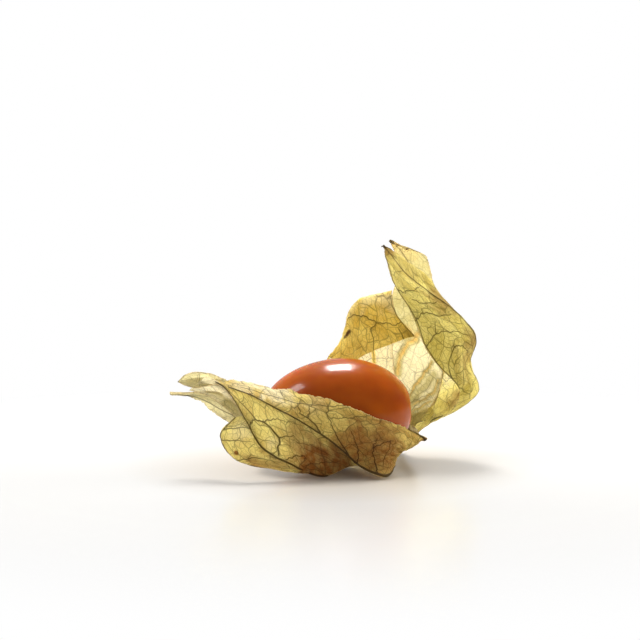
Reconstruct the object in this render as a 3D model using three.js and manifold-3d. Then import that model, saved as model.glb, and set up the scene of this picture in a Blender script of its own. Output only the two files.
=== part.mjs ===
// A picked cape gooseberry (physalis): the ripe berry on its short stalk, with the dry papery husk torn
// open round it. The husk is the flower's five sepals, grown thin and wide. Two are peeled down in front
// of the berry and three stand behind it like an open shell. All of them start at the stalk's ring.
// Millimetres, +Z up, +X to the right and -Y to the front. The origin is under the middle of the whole.
import * as THREE from "three";
import { mergeVertices } from "three/addons/utils/BufferGeometryUtils.js";
import Module from "manifold-3d";

// Driving dimensions
const BERRY_HALF_LENGTH = 10.0;
const BERRY_RADIUS = 7.05;
const BERRY_TILT = THREE.MathUtils.degToRad(4);
const SEPAL_THICKNESS = 0.5;
const STALK_RADIUS = 0.8;
const RING_RADIUS = 1.25;

// Mesh fineness
const STEPS_PER_STATION = 3;
const STEPS_PER_RAIL = 3;
const ROD_SIDES = 10;

// Each sepal is a smooth sheet over a net of points, measured from the berry's centre. A row is one rail
// of the sheet, from the stalk's ring out to the tip, and the rows go from one long edge to the other.
const FRONT_UPPER_RAILS = [
  [[10.4, 2.0, -2.9], [11.8, -0.8, -3.2], [8.9, -4.0, -1.5], [5.3, -7.0, 0.2], [1.2, -7.9, 2.0],
    [-3.6, -7.4, 3.4], [-8.0, -6.8, 3.9], [-12.2, -6.0, 4.7], [-15.5, -5.2, 5.1]],
  [[10.3, 1.2, -3.5], [9.4, -3.4, -4.1], [7.0, -6.8, -2.6], [3.6, -8.4, -1.2], [0.0, -9.0, 0.6],
    [-3.9, -8.5, 2.2], [-7.8, -7.8, 3.1], [-11.8, -6.8, 4.2], [-15.4, -5.5, 4.8]],
  [[10.0, 1.0, -4.2], [7.4, -6.0, -5.7], [5.2, -8.6, -4.2], [2.2, -9.4, -2.7], [-0.8, -9.7, -0.6],
    [-4.3, -9.4, 0.9], [-7.8, -8.6, 2.2], [-11.5, -7.6, 3.6], [-15.4, -5.9, 4.6]],
  [[9.5, 1.1, -4.9], [5.3, -8.4, -7.0], [2.9, -9.6, -5.8], [0.6, -10.0, -3.7], [-2.1, -10.1, -1.6],
    [-5.0, -9.8, 0.2], [-8.2, -9.0, 1.8], [-11.4, -8.0, 3.2], [-15.3, -6.3, 4.5]],
];
const CURLED_TIP_RAILS = [
  [[-14.2, -5.6, 5.0], [-16.4, -5.3, 5.7], [-18.0, -5.4, 5.9], [-19.4, -6.0, 5.6], [-20.1, -6.6, 5.0]],
  [[-14.4, -6.2, 4.6], [-16.5, -4.5, 4.8], [-18.0, -4.0, 4.8], [-19.3, -4.8, 4.9], [-20.2, -6.7, 4.8]],
  [[-14.2, -6.9, 4.2], [-16.3, -7.0, 4.1], [-18.0, -7.0, 3.9], [-19.2, -7.0, 4.2], [-20.1, -6.9, 4.6]],
];
const FRONT_LOWER_RAILS = [
  [[8.6, 1.6, -5.3], [5.6, -5.6, -5.2], [1.9, -8.6, -5.2], [-1.0, -9.7, -3.6], [-4.6, -10.0, -1.0],
    [-8.0, -9.3, 0.7], [-11.4, -8.0, 2.2], [-14.2, -7.2, 3.4]],
  [[8.3, 2.0, -5.7], [5.2, -5.8, -5.5], [1.8, -8.7, -5.4], [-1.6, -9.9, -5.0], [-5.4, -10.9, -2.8],
    [-8.8, -10.4, -0.4], [-11.8, -8.9, 1.5], [-14.3, -7.5, 3.0]],
  [[7.9, 2.4, -6.0], [5.0, -6.0, -5.9], [1.6, -8.8, -5.7], [-2.0, -9.2, -6.9], [-6.0, -10.6, -5.2],
    [-9.6, -11.0, -3.0], [-12.0, -9.2, 0.9], [-14.4, -7.7, 2.6]],
];
const LOWER_LOBE_RAILS = [
  [[-1.6, -9.2, -6.8], [-5.0, -10.4, -5.8], [-8.3, -11.0, -3.9], [-10.0, -10.9, -2.6], [-10.8, -9.8, -0.6]],
  [[-1.8, -9.4, -6.9], [-6.4, -11.2, -5.7], [-10.2, -12.0, -4.1], [-12.1, -11.6, -2.0], [-11.4, -9.9, -0.3]],
  [[-2.0, -9.2, -7.0], [-7.8, -10.6, -5.8], [-12.8, -11.2, -4.5], [-14.7, -10.6, -1.9], [-12.3, -9.7, 0.3]],
];
const SPIKE_RAILS = [
  [[-12.4, -7.6, 2.9], [-15.4, -6.0, 3.8], [-18.6, -5.8, 3.2], [-21.2, -7.2, 3.4]],
  [[-12.0, -7.7, 1.9], [-14.9, -5.6, 2.5], [-18.0, -5.4, 2.8], [-21.2, -7.3, 3.2]],
  [[-11.4, -8.0, 0.2], [-14.2, -6.3, 0.8], [-17.6, -6.2, 2.2], [-21.2, -7.4, 3.0]],
  [[-11.8, -8.0, -0.8], [-14.6, -5.2, -0.6], [-17.2, -5.0, 1.2], [-20.6, -6.6, 2.8]],
];
const BACK_LEFT_RAILS = [
  [[7.8, 4.6, -5.7], [2.6, 6.9, -6.9], [-0.4, 9.2, -2.4], [-1.8, 9.4, 2.4], [-1.2, 8.2, 6.2],
    [-0.2, 7.5, 5.8], [1.0, 7.2, 4.6]],
  [[8.2, 5.3, -5.2], [4.8, 9.2, -4.2], [1.8, 10.8, 1.0], [0.6, 10.8, 7.0], [1.0, 8.6, 9.2],
    [2.0, 6.8, 8.2], [3.4, 5.6, 6.8]],
  [[8.6, 5.7, -4.5], [6.4, 10.0, -2.0], [4.4, 11.8, 3.6], [2.9, 11.4, 10.4], [2.5, 8.8, 13.7],
    [4.6, 7.0, 11.4], [6.8, 5.4, 8.3]],
  [[9.0, 6.0, -3.9], [8.1, 10.9, 0.0], [7.3, 12.7, 6.0], [6.9, 12.0, 12.4], [7.4, 9.2, 15.4],
    [8.2, 7.6, 12.4], [10.6, 6.6, 9.5]],
];
const BACK_MIDDLE_RAILS = [
  [[9.5, 6.0, -3.4], [9.0, 11.1, 0.5], [8.2, 13.1, 6.4], [7.8, 12.2, 12.9], [8.6, 8.6, 18.4], [7.1, 6.3, 22.4]],
  [[9.9, 6.0, -2.9], [10.4, 11.3, 1.2], [10.2, 13.4, 7.5], [10.2, 12.2, 14.0], [9.7, 8.2, 19.4], [7.4, 6.1, 22.5]],
  [[10.4, 5.8, -2.5], [12.0, 11.1, 1.5], [12.8, 13.0, 8.0], [12.6, 11.4, 14.6], [10.9, 7.8, 20.0], [7.7, 6.1, 22.3]],
  [[10.9, 5.5, -2.1], [13.6, 10.7, 1.4], [14.6, 12.4, 8.0], [13.5, 10.7, 14.0], [12.1, 7.3, 19.2], [8.0, 6.2, 22.1]],
];
const BACK_RIGHT_RAILS = [
  [[11.6, 5.0, -1.8], [14.2, 10.1, 0.9], [15.2, 11.8, 5.0], [15.2, 11.9, 9.0], [14.6, 10.7, 12.4],
    [13.4, 8.9, 15.0], [11.8, 6.6, 17.0], [9.0, 5.0, 19.4], [6.5, 3.1, 21.8]],
  [[11.8, 4.3, -1.9], [15.4, 7.6, -0.2], [17.8, 8.0, 3.4], [17.6, 7.6, 7.2], [17.4, 7.2, 10.8],
    [14.8, 6.2, 13.9], [12.3, 5.2, 17.3], [9.2, 3.9, 19.5], [6.4, 2.8, 21.8]],
  [[11.9, 3.6, -2.2], [15.8, 5.5, -0.5], [19.0, 5.0, 2.3], [17.8, 4.5, 6.0], [18.4, 4.0, 9.5],
    [15.7, 3.8, 12.9], [12.2, 3.4, 15.5], [9.0, 2.9, 18.2], [6.2, 2.5, 21.8]],
  [[11.7, 3.1, -2.5], [15.6, 4.9, -0.4], [17.8, 3.2, 2.8], [16.5, 2.4, 6.0], [16.0, 1.9, 9.2],
    [13.7, 1.9, 12.4], [10.6, 2.1, 15.6], [8.2, 2.2, 18.6], [6.1, 2.3, 21.7]],
  [[11.4, 2.7, -2.7], [15.5, 4.5, -0.3], [16.2, 2.9, 2.8], [13.6, 1.8, 5.7], [11.4, 1.5, 8.8],
    [9.9, 1.5, 12.8], [8.2, 1.6, 16.2], [7.1, 1.9, 19.2], [6.0, 2.2, 21.7]],
];
// The stalk's centre line: from its ring, just clear of the berry, back and down to the cut end.
const STALK_POINTS = [[8.6, 2.7, -3.1], [9.7, 3.4, -3.4], [10.2, 4.5, -4.2], [9.7, 7.6, -5.3], [8.6, 11.6, -6.2]];
const STALK_RADII = [0.7, RING_RADIUS, STALK_RADIUS, STALK_RADIUS, STALK_RADIUS + 0.1];

const wasm = await Module();
wasm.setup();

// Point of a Catmull-Rom curve through a list of points, at t from 0 at the first to 1 at the last.
function onCurve(points, t) {
  return new THREE.CatmullRomCurve3(points, false, "catmullrom", 0.5).getPoint(t);
}

// Grid of points over a net of rails: smooth along each rail first, then smooth across them.
function sheetGrid(rails) {
  const vectors = rails.map((rail) => rail.map((p) => new THREE.Vector3(...p)));
  const along = (rails[0].length - 1) * STEPS_PER_STATION;
  const across = (rails.length - 1) * STEPS_PER_RAIL;
  const grid = [];
  for (let i = 0; i <= along; i++) {
    const crossing = vectors.map((rail) => onCurve(rail, i / along));
    grid.push(Array.from({ length: across + 1 }, (_, j) => onCurve(crossing, j / across)));
  }
  return grid;
}

// Unit normal of a grid at one of its points, from the neighbours on either side.
function gridNormal(grid, i, j) {
  const before = grid[Math.max(i - 1, 0)][j];
  const after = grid[Math.min(i + 1, grid.length - 1)][j];
  const left = grid[i][Math.max(j - 1, 0)];
  const right = grid[i][Math.min(j + 1, grid[i].length - 1)];
  return after.clone().sub(before).cross(right.clone().sub(left)).normalize();
}

// Closed solid of even thickness round a grid: an upper skin, a lower skin and the rim between them.
function shellFromGrid(grid, thickness) {
  const rows = grid.length;
  const columns = grid[0].length;
  const positions = [];
  for (const side of [0.5, -0.5]) {
    for (let i = 0; i < rows; i++) {
      for (let j = 0; j < columns; j++) {
        const offset = gridNormal(grid, i, j).multiplyScalar(side * thickness);
        positions.push(...grid[i][j].clone().add(offset).toArray());
      }
    }
  }
  const upper = (i, j) => i * columns + j;
  const lower = (i, j) => rows * columns + upper(i, j);
  const faces = [];
  const quad = (a, b, c, d) => faces.push(a, b, c, a, c, d);
  for (let i = 0; i < rows - 1; i++) {
    for (let j = 0; j < columns - 1; j++) {
      quad(upper(i, j), upper(i + 1, j), upper(i + 1, j + 1), upper(i, j + 1));
      quad(lower(i, j), lower(i, j + 1), lower(i + 1, j + 1), lower(i + 1, j));
    }
  }
  for (let i = 0; i < rows - 1; i++) {
    quad(upper(i, 0), lower(i, 0), lower(i + 1, 0), upper(i + 1, 0));
    quad(upper(i + 1, columns - 1), lower(i + 1, columns - 1), lower(i, columns - 1), upper(i, columns - 1));
  }
  for (let j = 0; j < columns - 1; j++) {
    quad(upper(0, j + 1), lower(0, j + 1), lower(0, j), upper(0, j));
    quad(upper(rows - 1, j), lower(rows - 1, j), lower(rows - 1, j + 1), upper(rows - 1, j + 1));
  }
  return geometryFrom(positions, faces);
}

function geometryFrom(positions, faces) {
  const geometry = new THREE.BufferGeometry();
  geometry.setAttribute("position", new THREE.Float32BufferAttribute(positions, 3));
  geometry.setIndex(faces);
  return geometry;
}

// Closed rod with a round section whose radius changes along a smooth line of points.
function taperedRod(points, radii) {
  const line = points.map((p) => new THREE.Vector3(...p));
  const steps = (points.length - 1) * STEPS_PER_STATION;
  const positions = [];
  const faces = [];
  for (let i = 0; i <= steps; i++) {
    const t = i / steps;
    const centre = onCurve(line, t);
    const ahead = onCurve(line, Math.min(t + 0.01, 1));
    const behind = onCurve(line, Math.max(t - 0.01, 0));
    const direction = ahead.sub(behind).normalize();
    const side = new THREE.Vector3(0, 0, 1).cross(direction).normalize();
    const up = direction.clone().cross(side);
    const place = t * (radii.length - 1);
    const k = Math.min(Math.floor(place), radii.length - 2);
    const radius = THREE.MathUtils.lerp(radii[k], radii[k + 1], place - k);
    for (let j = 0; j < ROD_SIDES; j++) {
      const angle = (2 * Math.PI * j) / ROD_SIDES;
      const rim = centre.clone().addScaledVector(side, radius * Math.cos(angle));
      positions.push(...rim.addScaledVector(up, radius * Math.sin(angle)).toArray());
    }
  }
  const at = (i, j) => i * ROD_SIDES + (j % ROD_SIDES);
  for (let i = 0; i < steps; i++) {
    for (let j = 0; j < ROD_SIDES; j++) {
      faces.push(at(i, j), at(i, j + 1), at(i + 1, j + 1), at(i, j), at(i + 1, j + 1), at(i + 1, j));
    }
  }
  for (let j = 1; j < ROD_SIDES - 1; j++) {
    faces.push(at(0, 0), at(0, j + 1), at(0, j));
    faces.push(at(steps, 0), at(steps, j), at(steps, j + 1));
  }
  return geometryFrom(positions, faces);
}

// Joins closed geometries into one solid.
function joined(...geometries) {
  const solids = geometries.map((geometry) => {
    const merged = mergeVertices(geometry, 1e-4);
    const vertProperties = new Float32Array(merged.attributes.position.array);
    const triVerts = new Uint32Array(merged.index.array);
    return new wasm.Manifold(new wasm.Mesh({ numProp: 3, vertProperties, triVerts }));
  });
  const mesh = solids.reduce((whole, next) => whole.add(next)).getMesh();
  return geometryFrom([...mesh.vertProperties], [...mesh.triVerts]);
}

// Berry: an egg-like oval turned about its long axis, a little blunter at the stalk's end.
function berryGeometry() {
  const steps = 28;
  const profile = Array.from({ length: steps + 1 }, (_, k) => {
    const angle = (Math.PI * k) / steps;
    const radius = BERRY_RADIUS * Math.sin(angle) * (1 - 0.04 * Math.cos(angle) * Math.sin(angle));
    return new THREE.Vector2(k % steps ? radius : 0, -BERRY_HALF_LENGTH * Math.cos(angle));
  });
  return new THREE.LatheGeometry(profile, 32);
}

function paint(color, roughness) {
  return new THREE.MeshStandardMaterial({ color, roughness, metalness: 0, side: THREE.DoubleSide });
}

const part = new THREE.Group();
const wholeFruit = new THREE.Group();
part.add(wholeFruit);

function addPiece(name, geometry, material) {
  const mesh = new THREE.Mesh(geometry, material);
  mesh.name = name;
  wholeFruit.add(mesh);
  return mesh;
}

const berrySkin = paint(0xc86a22, 0.25);
const dryHusk = paint(0xc9b66a, 0.75);
const stalkWood = paint(0x8a7a45, 0.8);

const berry = addPiece("berry", berryGeometry(), berrySkin);
berry.rotation.set(0, 0, -Math.PI / 2);
const tilt = new THREE.Group();
tilt.rotation.y = -BERRY_TILT;
tilt.add(berry);
wholeFruit.add(tilt);

const frontUpper = shellFromGrid(sheetGrid(FRONT_UPPER_RAILS), SEPAL_THICKNESS);
const curledTip = shellFromGrid(sheetGrid(CURLED_TIP_RAILS), SEPAL_THICKNESS);
addPiece("front_upper_sepal", joined(frontUpper, curledTip), dryHusk);

const frontLower = shellFromGrid(sheetGrid(FRONT_LOWER_RAILS), SEPAL_THICKNESS);
const lobe = shellFromGrid(sheetGrid(LOWER_LOBE_RAILS), SEPAL_THICKNESS);
const spike = shellFromGrid(sheetGrid(SPIKE_RAILS), SEPAL_THICKNESS);
addPiece("front_lower_sepal", joined(frontLower, lobe, spike), dryHusk);

addPiece("back_left_sepal", shellFromGrid(sheetGrid(BACK_LEFT_RAILS), SEPAL_THICKNESS), dryHusk);
addPiece("back_middle_sepal", shellFromGrid(sheetGrid(BACK_MIDDLE_RAILS), SEPAL_THICKNESS), dryHusk);
addPiece("back_right_sepal", shellFromGrid(sheetGrid(BACK_RIGHT_RAILS), SEPAL_THICKNESS), dryHusk);
addPiece("stalk", taperedRod(STALK_POINTS, STALK_RADII), stalkWood);

// Stand the whole on z = 0 with the origin under the middle of its box.
part.updateMatrixWorld(true);
const box = new THREE.Box3().setFromObject(wholeFruit, true);
const middle = box.getCenter(new THREE.Vector3());
wholeFruit.position.set(-middle.x, -middle.y, -box.min.z);

export default part;
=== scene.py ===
"""A physalis berry in its torn-open husk: a glossy orange berry on a short stalk, with five papery sepals."""
import math
from functools import partial

import bpy
import numpy as np
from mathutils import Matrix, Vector


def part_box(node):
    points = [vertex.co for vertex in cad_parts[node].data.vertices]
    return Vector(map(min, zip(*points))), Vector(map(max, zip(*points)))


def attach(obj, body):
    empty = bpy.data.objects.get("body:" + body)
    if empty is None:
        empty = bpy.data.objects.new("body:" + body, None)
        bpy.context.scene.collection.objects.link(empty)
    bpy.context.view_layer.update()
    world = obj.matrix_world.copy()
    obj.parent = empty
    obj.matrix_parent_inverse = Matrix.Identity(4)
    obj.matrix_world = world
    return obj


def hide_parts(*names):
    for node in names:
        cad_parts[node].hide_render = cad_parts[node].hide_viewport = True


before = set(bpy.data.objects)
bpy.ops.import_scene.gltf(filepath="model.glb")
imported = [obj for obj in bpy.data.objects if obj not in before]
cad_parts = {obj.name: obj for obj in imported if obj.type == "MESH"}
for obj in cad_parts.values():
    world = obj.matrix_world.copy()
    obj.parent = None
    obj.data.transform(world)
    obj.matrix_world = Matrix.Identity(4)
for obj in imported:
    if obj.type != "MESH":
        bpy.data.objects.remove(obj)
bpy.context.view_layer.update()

MM = 0.001
berry_low, berry_high = (np.array(corner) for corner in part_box("berry"))
BERRY_CENTRE = (berry_low + berry_high) / 2


# ---------------------------------------------------------------- studio
# A pale table that runs off into a white room, a softbox overhead and a little behind the fruit, bright
# walls of light behind it and to its right that shine through the husk, and a weak softbox at its left.

def new_object(name, data):
    """Puts data into the scene as an object."""
    made = bpy.data.objects.new(name, data)
    bpy.context.scene.collection.objects.link(made)
    return made


EYE = Vector(BERRY_CENTRE) + Vector((-2.2, -232.0, 30.5)) * MM
EYE_TILT = math.radians(4.52)
camera_data = bpy.data.cameras.new("camera")
camera_data.lens = 100
camera_data.sensor_width = 36
camera_data.clip_start = 0.01
camera = new_object("camera", camera_data)
camera.location = EYE
camera.rotation_euler = (math.pi / 2 - EYE_TILT, 0, 0)
bpy.context.scene.camera = camera


def softbox(name, place, aim, size, watts, colour=(1, 1, 1)):
    """A square area light at place, in millimetres from the berry's centre, that points at aim."""
    data = bpy.data.lights.new(name, "AREA")
    data.shape = "RECTANGLE"
    data.size = size[0] * MM
    data.size_y = size[1] * MM
    data.energy = watts
    data.color = colour
    lamp = new_object(name, data)
    lamp.visible_camera = False
    lamp.location = Vector(BERRY_CENTRE) + Vector(place) * MM
    towards = Vector(aim) * MM - Vector(place) * MM
    lamp.rotation_euler = towards.to_track_quat("-Z", "Y").to_euler()
    return lamp


WARM_WHITE = (1.0, 0.98, 0.95)
softbox("overhead_softbox", (-4, 92, 182), (0, 0, 0), (50, 66), 0.6)
for lamp in (softbox("back_light", (-20, 260, 60), (0, 0, 5), (420, 160), 1.5, WARM_WHITE),
             softbox("right_light", (240, 70, 70), (0, 0, 5), (200, 140), 0.85, WARM_WHITE)):
    lamp.visible_glossy = False
softbox("left_light", (-160, -6, 176), (0, 0, 0), (66, 66), 0.16)


def set_inputs(node, inputs):
    """Sets a node's inputs, given by name or number, each to a value or from another node's socket."""
    for label, value in inputs.items():
        if isinstance(value, bpy.types.NodeSocket):
            node.id_data.links.new(value, node.inputs[label])
        else:
            node.inputs[label].default_value = value


def add_node(tree, kind, inputs=None, **settings):
    """A new shader node of one kind, with its settings and its inputs."""
    node = tree.nodes.new("ShaderNode" + kind)
    for label, value in settings.items():
        setattr(node, label, value)
    set_inputs(node, inputs or {})
    return node


def colour_ramp(tree, factor, *stops):
    """Colour Ramp node between two stops, each a position and a colour. Returns its output."""
    node = add_node(tree, "ValToRGB", {"Fac": factor})
    for element, (position, colour) in zip(node.color_ramp.elements, stops):
        element.position = position
        element.color = (*colour, 1)
    return node.outputs["Color"]


def new_material(name):
    """A fresh material with its Principled shader, ready for more nodes."""
    material = bpy.data.materials.new(name)
    material.use_nodes = True
    return material, material.node_tree, material.node_tree.nodes["Principled BSDF"]


world = bpy.data.worlds.new("white_room")
world.use_nodes = True
bpy.context.scene.world = world
room = world.node_tree
room.nodes.clear()
way = add_node(room, "TexCoord").outputs["Generated"]
depth = add_node(room, "SeparateXYZ", {"Vector": way}).outputs["Y"]
shade = add_node(room, "MapRange", {"Value": depth, "From Min": -1.0, "To Min": 1.35, "To Max": 1.5})
sheen = add_node(room, "MapRange", {"Value": depth, "From Min": 0.1, "To Min": 0.10, "To Max": 0.7})
ray = add_node(room, "LightPath").outputs
strength = add_node(room, "Mix", {"Factor": ray["Is Glossy Ray"], "A": shade.outputs["Result"],
                                  "B": sheen.outputs["Result"]})
glow = add_node(room, "Background", {"Strength": strength.outputs["Result"]})
seen = add_node(room, "Background", {"Color": (1, 1, 1, 1)})
choose = add_node(room, "MixShader", {0: ray["Is Camera Ray"], 1: glow.outputs[0], 2: seen.outputs[0]})
add_node(room, "OutputWorld", {"Surface": choose.outputs[0]})
bpy.context.scene.view_settings.view_transform = "Standard"

FLOOR_HALF = 3.0
FADE_START = 30 * MM
FADE_END = 90 * MM
floor_mesh = bpy.data.meshes.new("table_top")
corners = [(x * FLOOR_HALF, y * FLOOR_HALF, 0) for x, y in ((-1, -1), (1, -1), (1, 1), (-1, 1))]
floor_mesh.from_pydata(corners, [], [(0, 1, 2, 3)])
floor = new_object("table_top", floor_mesh)
floor_paint, floor_tree, floor_shader = new_material("white_table")
floor_mesh.materials.append(floor_paint)
floor_place = add_node(floor_tree, "TexCoord").outputs["Object"]
floor_reach = add_node(floor_tree, "VectorMath", {0: floor_place}, operation="LENGTH").outputs["Value"]
# Painted shadow: the table's colour is darker and warmer close to its centre, under the fruit, and turns
# neutral by 28 mm out; it stands in for the fruit's contact shadow and the orange light that comes through
# the husk.
floor_painted_shadow = colour_ramp(floor_tree, floor_reach, (5 * MM, (0.35, 0.30, 0.23)),
                         (28 * MM, (0.42, 0.415, 0.405)))
set_inputs(floor_shader, {"Base Color": floor_painted_shadow, "Roughness": 0.22})
floor_span = {"Value": floor_reach, "From Min": FADE_START, "From Max": FADE_END}
floor_fade = add_node(floor_tree, "MapRange", floor_span, interpolation_type="SMOOTHSTEP").outputs["Result"]
floor_ray = add_node(floor_tree, "LightPath").outputs["Is Camera Ray"]
floor_seen = add_node(floor_tree, "Math", {0: floor_fade, 1: floor_ray}, operation="MULTIPLY").outputs[0]
floor_white = add_node(floor_tree, "Emission").outputs[0]
floor_mix = add_node(floor_tree, "MixShader", {0: floor_seen, 1: floor_shader.outputs[0], 2: floor_white})
set_inputs(floor_tree.nodes["Material Output"], {"Surface": floor_mix.outputs[0]})


# ---------------------------------------------------------------- berry
# The ripe fruit: a tight, waxy orange skin over juicy flesh, oval, with a small dry scar at the end away
# from its stalk. It is one piece, and it hangs on the stalk at its lower right.

def surface_mesh(name, points, closed_around):
    """Mesh over a grid of points, rows by columns. closed_around joins the last column to the first."""
    rows, columns = points.shape[:2]
    index = np.arange(rows * columns).reshape(rows, columns)
    if closed_around:
        index = np.concatenate([index, index[:, :1]], axis=1)
    quads = np.stack([index[:-1, :-1], index[1:, :-1], index[1:, 1:], index[:-1, 1:]], axis=-1).reshape(-1, 4)
    return fill_mesh(name, points.reshape(-1, 3), quads)


def fill_mesh(name, vertices, quads):
    """Puts vertices, in metres, and quads into a new smooth-shaded mesh."""
    mesh = bpy.data.meshes.new(name)
    mesh.vertices.add(len(vertices))
    mesh.vertices.foreach_set("co", np.ascontiguousarray(vertices, dtype=np.float32).ravel())
    mesh.loops.add(quads.size)
    mesh.loops.foreach_set("vertex_index", quads.ravel().astype(np.int32))
    mesh.polygons.add(len(quads))
    mesh.polygons.foreach_set("loop_start", np.arange(0, quads.size, 4, dtype=np.int32))
    mesh.polygons.foreach_set("use_smooth", np.ones(len(quads), dtype=bool))
    mesh.update(calc_edges=True)
    mesh.validate()
    return mesh


def lattice_noise(x, y, seed, wraps=0):
    """Smooth noise from -1 to 1: random values on a unit lattice, blended between with a soft step.
    Where wraps is given, the pattern repeats in x after that many units."""
    values = np.random.RandomState(seed).uniform(-1, 1, (256, 256))
    x0, y0 = np.floor(x).astype(int), np.floor(y).astype(int)
    fx, fy = x - x0, y - y0
    fx, fy = fx * fx * (3 - 2 * fx), fy * fy * (3 - 2 * fy)
    period = wraps or 256
    xa, xb = x0 % period, (x0 + 1) % period
    ya, yb = y0 % 256, (y0 + 1) % 256
    low = values[xa, ya] * (1 - fx) + values[xb, ya] * fx
    high = values[xa, yb] * (1 - fx) + values[xb, yb] * fx
    return low * (1 - fy) + high * fy


BERRY_HALF_LENGTH = 10.0 * MM
BERRY_RADIUS = 7.05 * MM
BERRY_TILT = math.radians(4)
STEM_DIMPLE = 0.45 * MM
BLOSSOM_SCAR = 0.12 * MM


def berry_surface(rows=180, columns=320):
    """An oval turned about its long axis: half-length times cosine along, radius times sine around, a
    little blunter at the stalk's end. Faint swells, and a pucker at each pole."""
    angle = np.linspace(0, np.pi, rows)[:, None]
    turn = np.linspace(0, 2 * np.pi, columns, endpoint=False)[None, :]
    blunt = 1 - 0.04 * np.cos(angle) * np.sin(angle)
    swell = lattice_noise(turn / (2 * np.pi) * 6, angle * 2.2 + 0 * turn, 11, wraps=6)
    radius = BERRY_RADIUS * np.sin(angle) * blunt * (1 + 0.006 * swell * np.sin(angle))
    pucker = BLOSSOM_SCAR * np.exp(-(angle / 0.05) ** 2)
    dimple = STEM_DIMPLE * np.exp(-((np.pi - angle) / 0.16) ** 2)
    along = -BERRY_HALF_LENGTH * np.cos(angle) + pucker - dimple
    y = radius * np.cos(turn)
    z = radius * np.sin(turn)
    x = along + 0 * turn
    tilted_x = x * math.cos(BERRY_TILT) - z * math.sin(BERRY_TILT)
    tilted_z = x * math.sin(BERRY_TILT) + z * math.cos(BERRY_TILT)
    return np.stack([tilted_x, y, tilted_z], axis=-1) + BERRY_CENTRE


def noise_at(tree, place, scale, detail, roughness=0.5):
    """Noise node read at a place. Returns its value."""
    inputs = {"Vector": place, "Scale": scale, "Detail": detail, "Roughness": roughness}
    return add_node(tree, "TexNoise", inputs).outputs["Fac"]


berry_mesh = surface_mesh("berry_skin_mesh", berry_surface(), closed_around=True)
berry = new_object("ripe_berry", berry_mesh)
skin, skin_tree, skin_shader = new_material("berry_skin")
berry_mesh.materials.append(skin)
skin_place = add_node(skin_tree, "TexCoord").outputs["Object"]
blush = noise_at(skin_tree, skin_place, 130, 3)
ripeness = colour_ramp(skin_tree, blush, (0.3, (0.185, 0.029, 0.0008)), (0.72, (0.32, 0.068, 0.0014)))
swells = noise_at(skin_tree, skin_place, 420, 1)
swell_bump = add_node(skin_tree, "Bump", {"Height": swells, "Strength": 0.25, "Distance": 0.3 * MM})
pores = noise_at(skin_tree, skin_place, 2600, 2)
pore_bump = add_node(skin_tree, "Bump", {"Height": pores, "Strength": 0.04, "Distance": 0.1 * MM,
                                         "Normal": swell_bump.outputs["Normal"]})
set_inputs(skin_shader, {
    "Base Color": ripeness, "Normal": pore_bump.outputs["Normal"],
    "Roughness": 0.25, "Specular IOR Level": 0.12,
    "Subsurface Weight": 0.7, "Subsurface Radius": (1.0, 0.35, 0.1), "Subsurface Scale": 4 * MM,
    "Coat Weight": 0.3, "Coat Roughness": 0.08})
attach(berry, "root")
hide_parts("berry")


# ---------------------------------------------------------------- front upper sepal
# The broad sepal peeled down in front of the berry: dry paper, thinner than a leaf, with a thick brown
# midrib along its lower edge, veins that branch off it, and a torn upper edge. It ends in a curled tip.

# How a sheet is shaped. Ribs rise and spread in half-widths of their vein, a rib's foot and the swell's
# reach are in millimetres, and the bleach ends over a stretch of u. FAR is more than any distance met.
PAPER = 0.12 * MM
FAR = 9.0
RIB_RISE = 1.1
RIB_SPREAD = 1.3
RIB_FOOT = 0.08
SWELL_REACH = 0.7
BLEACH_END = 0.08
NET_WARP = 0.30
NET_SLANT = 0.6
STAIN_AND_SHADE_UNEVENNESS = 0.35


def through_points(points, t):
    """Catmull-Rom curve through points on axis 0, at t counted in points: between two points a cubic whose
    slope at each is half the step between that point's neighbours."""
    padded = np.concatenate([2 * points[:1] - points[1:2], points, 2 * points[-1:] - points[-2:-1]])
    k = np.clip(np.floor(t).astype(int), 0, len(points) - 2)
    f = (t - k).reshape((-1,) + (1,) * (points.ndim - 1))
    a, b, c, d = (padded[k + n] for n in range(4))
    return b + 0.5 * f * (c - a + f * (2 * a - 5 * b + 4 * c - d + f * (3 * (b - c) + d - a)))


def on_sheet(rails, u, v):
    """Points of the smooth sheet through a net of rails, in metres. u runs from 0 to 1 along the rails, and
    v from 0 to 1 across them. Both may be arrays of one shape."""
    net = np.array(rails) * MM
    shape = np.shape(u)
    u, v = np.ravel(u), np.ravel(v)
    along = through_points(net.transpose(1, 0, 2), u * (net.shape[1] - 1))
    before, after = 2 * along[:, :1] - along[:, 1:2], 2 * along[:, -1:] - along[:, -2:-1]
    padded = np.concatenate([before, along, after], axis=1)
    t = v * (net.shape[0] - 1)
    k = np.clip(np.floor(t).astype(int), 0, net.shape[0] - 2)
    f = (t - k)[:, None]
    row = np.arange(len(t))
    a, b, c, d = (padded[row, k + n] for n in range(4))
    points = b + 0.5 * f * (c - a + f * (2 * a - 5 * b + 4 * c - d + f * (3 * (b - c) + d - a)))
    return points.reshape(shape + (3,))


def unit(vectors):
    """The same directions at length one."""
    return vectors / np.maximum(np.linalg.norm(vectors, axis=-1, keepdims=True), 1e-12)


def normals_of(points):
    """Unit normals of a grid of points: the cross product of its two slopes."""
    return unit(np.cross(np.gradient(points, axis=0), np.gradient(points, axis=1)))


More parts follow.
